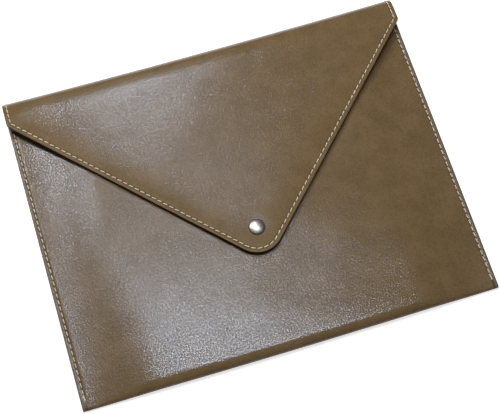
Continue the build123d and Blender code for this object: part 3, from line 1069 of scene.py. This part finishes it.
def stud_profile():
    """Stud with a flat base, a narrow neck and a bevelled head."""
    low, high = box_mm("stud")
    neck_z = low.z + STUD_BASE_HEIGHT
    head_z = high.z - STUD_HEAD_HEIGHT
    post = [(STUD_HOLE, low.z), (STUD_BASE, low.z), (STUD_BASE, neck_z), (STUD_NECK, neck_z)]
    post += [(STUD_NECK, head_z), (STUD_HEAD, head_z + STUD_BEVEL), (STUD_HEAD, high.z - STUD_BEVEL)]
    post += [(STUD_NECK, high.z), (STUD_HOLE, high.z)]
    return rounded(post, STUD_ROUND)


for name, profile, stands_for, body in (
    ("press_stud_cap", cap_profile(), "stud_cap", "flap"),
    ("press_stud_socket", socket_profile(), "stud_socket", "flap"),
    ("press_stud_post", stud_profile(), "stud", "pocket"),
):
    metal = turned(name, profile, [NICKEL_LOOK])
    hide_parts(stands_for)
    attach(metal, body)
CAD_LOOKS = {"cap_post": NICKEL_LOOK, "stud_eyelet": NICKEL_LOOK, "ring_spring": BRONZE_LOOK}
for name, look in CAD_LOOKS.items():
    slots = frame["nodes"][name].data.materials
    slots.clear()
    slots.append(look)


# Studio: pale floor, soft lights and the camera
WHITE = (1, 1, 1, 1)
FLOOR_REACH = 4.0
FLOOR_COLOUR = (0.8, 0.8, 0.8, 1)
FLOOR_ROUGHNESS = 0.9
FLOOR_GLOW = 0.72         # with the light on it, the floor shows as white
WALL_LIGHT = (0.3, 0.3, 0.3, 1)
CEILING = (0.06, 0.06, 0.062, 1)
WALL_TOP = (-0.05, 0.12)  # the walls fade into the ceiling over this slope
LIGHT_HEIGHT = 1.0
STRIP_TURN = -34.0

# Soft lights: place over the table, size, power and turn
SOFTBOXES = {
    "strip_left": ((-0.27, 0.277), (0.3, 0.09), 1.1, STRIP_TURN),
    "strip_right": ((0.03, 0.075), (0.42, 0.09), 3.5, STRIP_TURN),
    "middle": ((0.02, 0.26), (0.12, 0.09), 0.65, 0.0),
    "far_left": ((-0.42, 0.6), (0.13, 0.12), 3.1, 0.0),
    "far_right": ((-0.02, 0.64), (0.12, 0.15), 3.0, 0.0),
}

CAMERA_PLACE = Vector((-0.10224, -0.33521, 0.92491))
CAMERA_AIM = Vector((0.00143, -0.00955, 0.0))
CAMERA_ROLL = math.radians(0.61)
LENS = 92.74
SENSOR = 36.0


def seen(tree):
    """1 for rays from the camera and for what metal and glass show, 0 for light."""
    path = node(tree, "ShaderNodeLightPath").outputs
    shown = math_node(tree, "ADD", path["Is Camera Ray"], path["Is Glossy Ray"], clamp=True)
    return math_node(tree, "ADD", shown, path["Is Transmission Ray"], clamp=True)


def floor():
    """Pale floor that shows as white and keeps the object's shadow."""
    mesh = bpy.data.meshes.new("floor")
    corners = [(-1, -1), (1, -1), (1, 1), (-1, 1)]
    mesh.from_pydata([(FLOOR_REACH * x, FLOOR_REACH * y, 0) for x, y in corners], [], [(0, 1, 2, 3)])
    plane = bpy.data.objects.new("floor", mesh)
    bpy.context.scene.collection.objects.link(plane)
    material, tree, surface = shader("floor")
    surface.inputs["Base Color"].default_value = FLOOR_COLOUR
    surface.inputs["Roughness"].default_value = FLOOR_ROUGHNESS
    surface.inputs["Emission Color"].default_value = WHITE
    put(tree, surface.inputs["Emission Strength"], math_node(tree, "MULTIPLY", seen(tree), FLOOR_GLOW))
    mesh.materials.append(material)


def world():
    """Walls under a dim ceiling, white in reflections and grey as light; the camera sees only white."""
    made = bpy.data.worlds.new("studio")
    made.use_nodes = True
    tree = made.node_tree
    toward = node(tree, "ShaderNodeTexCoord").outputs["Generated"]
    up = node(tree, "ShaderNodeSeparateXYZ", {"Vector": toward}).outputs["Z"]
    walls = mix(tree, seen(tree), WALL_LIGHT, WHITE)
    room = mix(tree, ramp(tree, up, *WALL_TOP), walls, CEILING)
    from_camera = node(tree, "ShaderNodeLightPath").outputs["Is Camera Ray"]
    put(tree, tree.nodes["Background"].inputs["Color"], mix(tree, from_camera, room, WHITE))
    bpy.context.scene.world = made


def softbox(name, place, size, power, turn_to):
    """Soft light that hangs level over the table, turned about the vertical."""
    light = bpy.data.lights.new(name, "AREA")
    light.shape = "RECTANGLE"
    light.size, light.size_y = size
    light.energy = power
    lamp = bpy.data.objects.new(name, light)
    lamp.location = (*place, LIGHT_HEIGHT)
    lamp.rotation_euler.z = math.radians(turn_to)
    bpy.context.scene.collection.objects.link(lamp)


def camera():
    """Camera at the photograph's viewing angle."""
    data = bpy.data.cameras.new("camera")
    data.sensor_width = SENSOR
    data.lens = LENS
    view = bpy.data.objects.new("camera", data)
    view.location = CAMERA_PLACE
    view.rotation_mode = "QUATERNION"
    look = (CAMERA_AIM - CAMERA_PLACE).to_track_quat("-Z", "Y")
    view.rotation_quaternion = look @ Quaternion((0, 0, 1), CAMERA_ROLL)
    bpy.context.scene.collection.objects.link(view)
    bpy.context.scene.camera = view


floor()
world()
for name, settings in SOFTBOXES.items():
    softbox(name, *settings)
camera()
bpy.context.scene.view_settings.view_transform = "Standard"
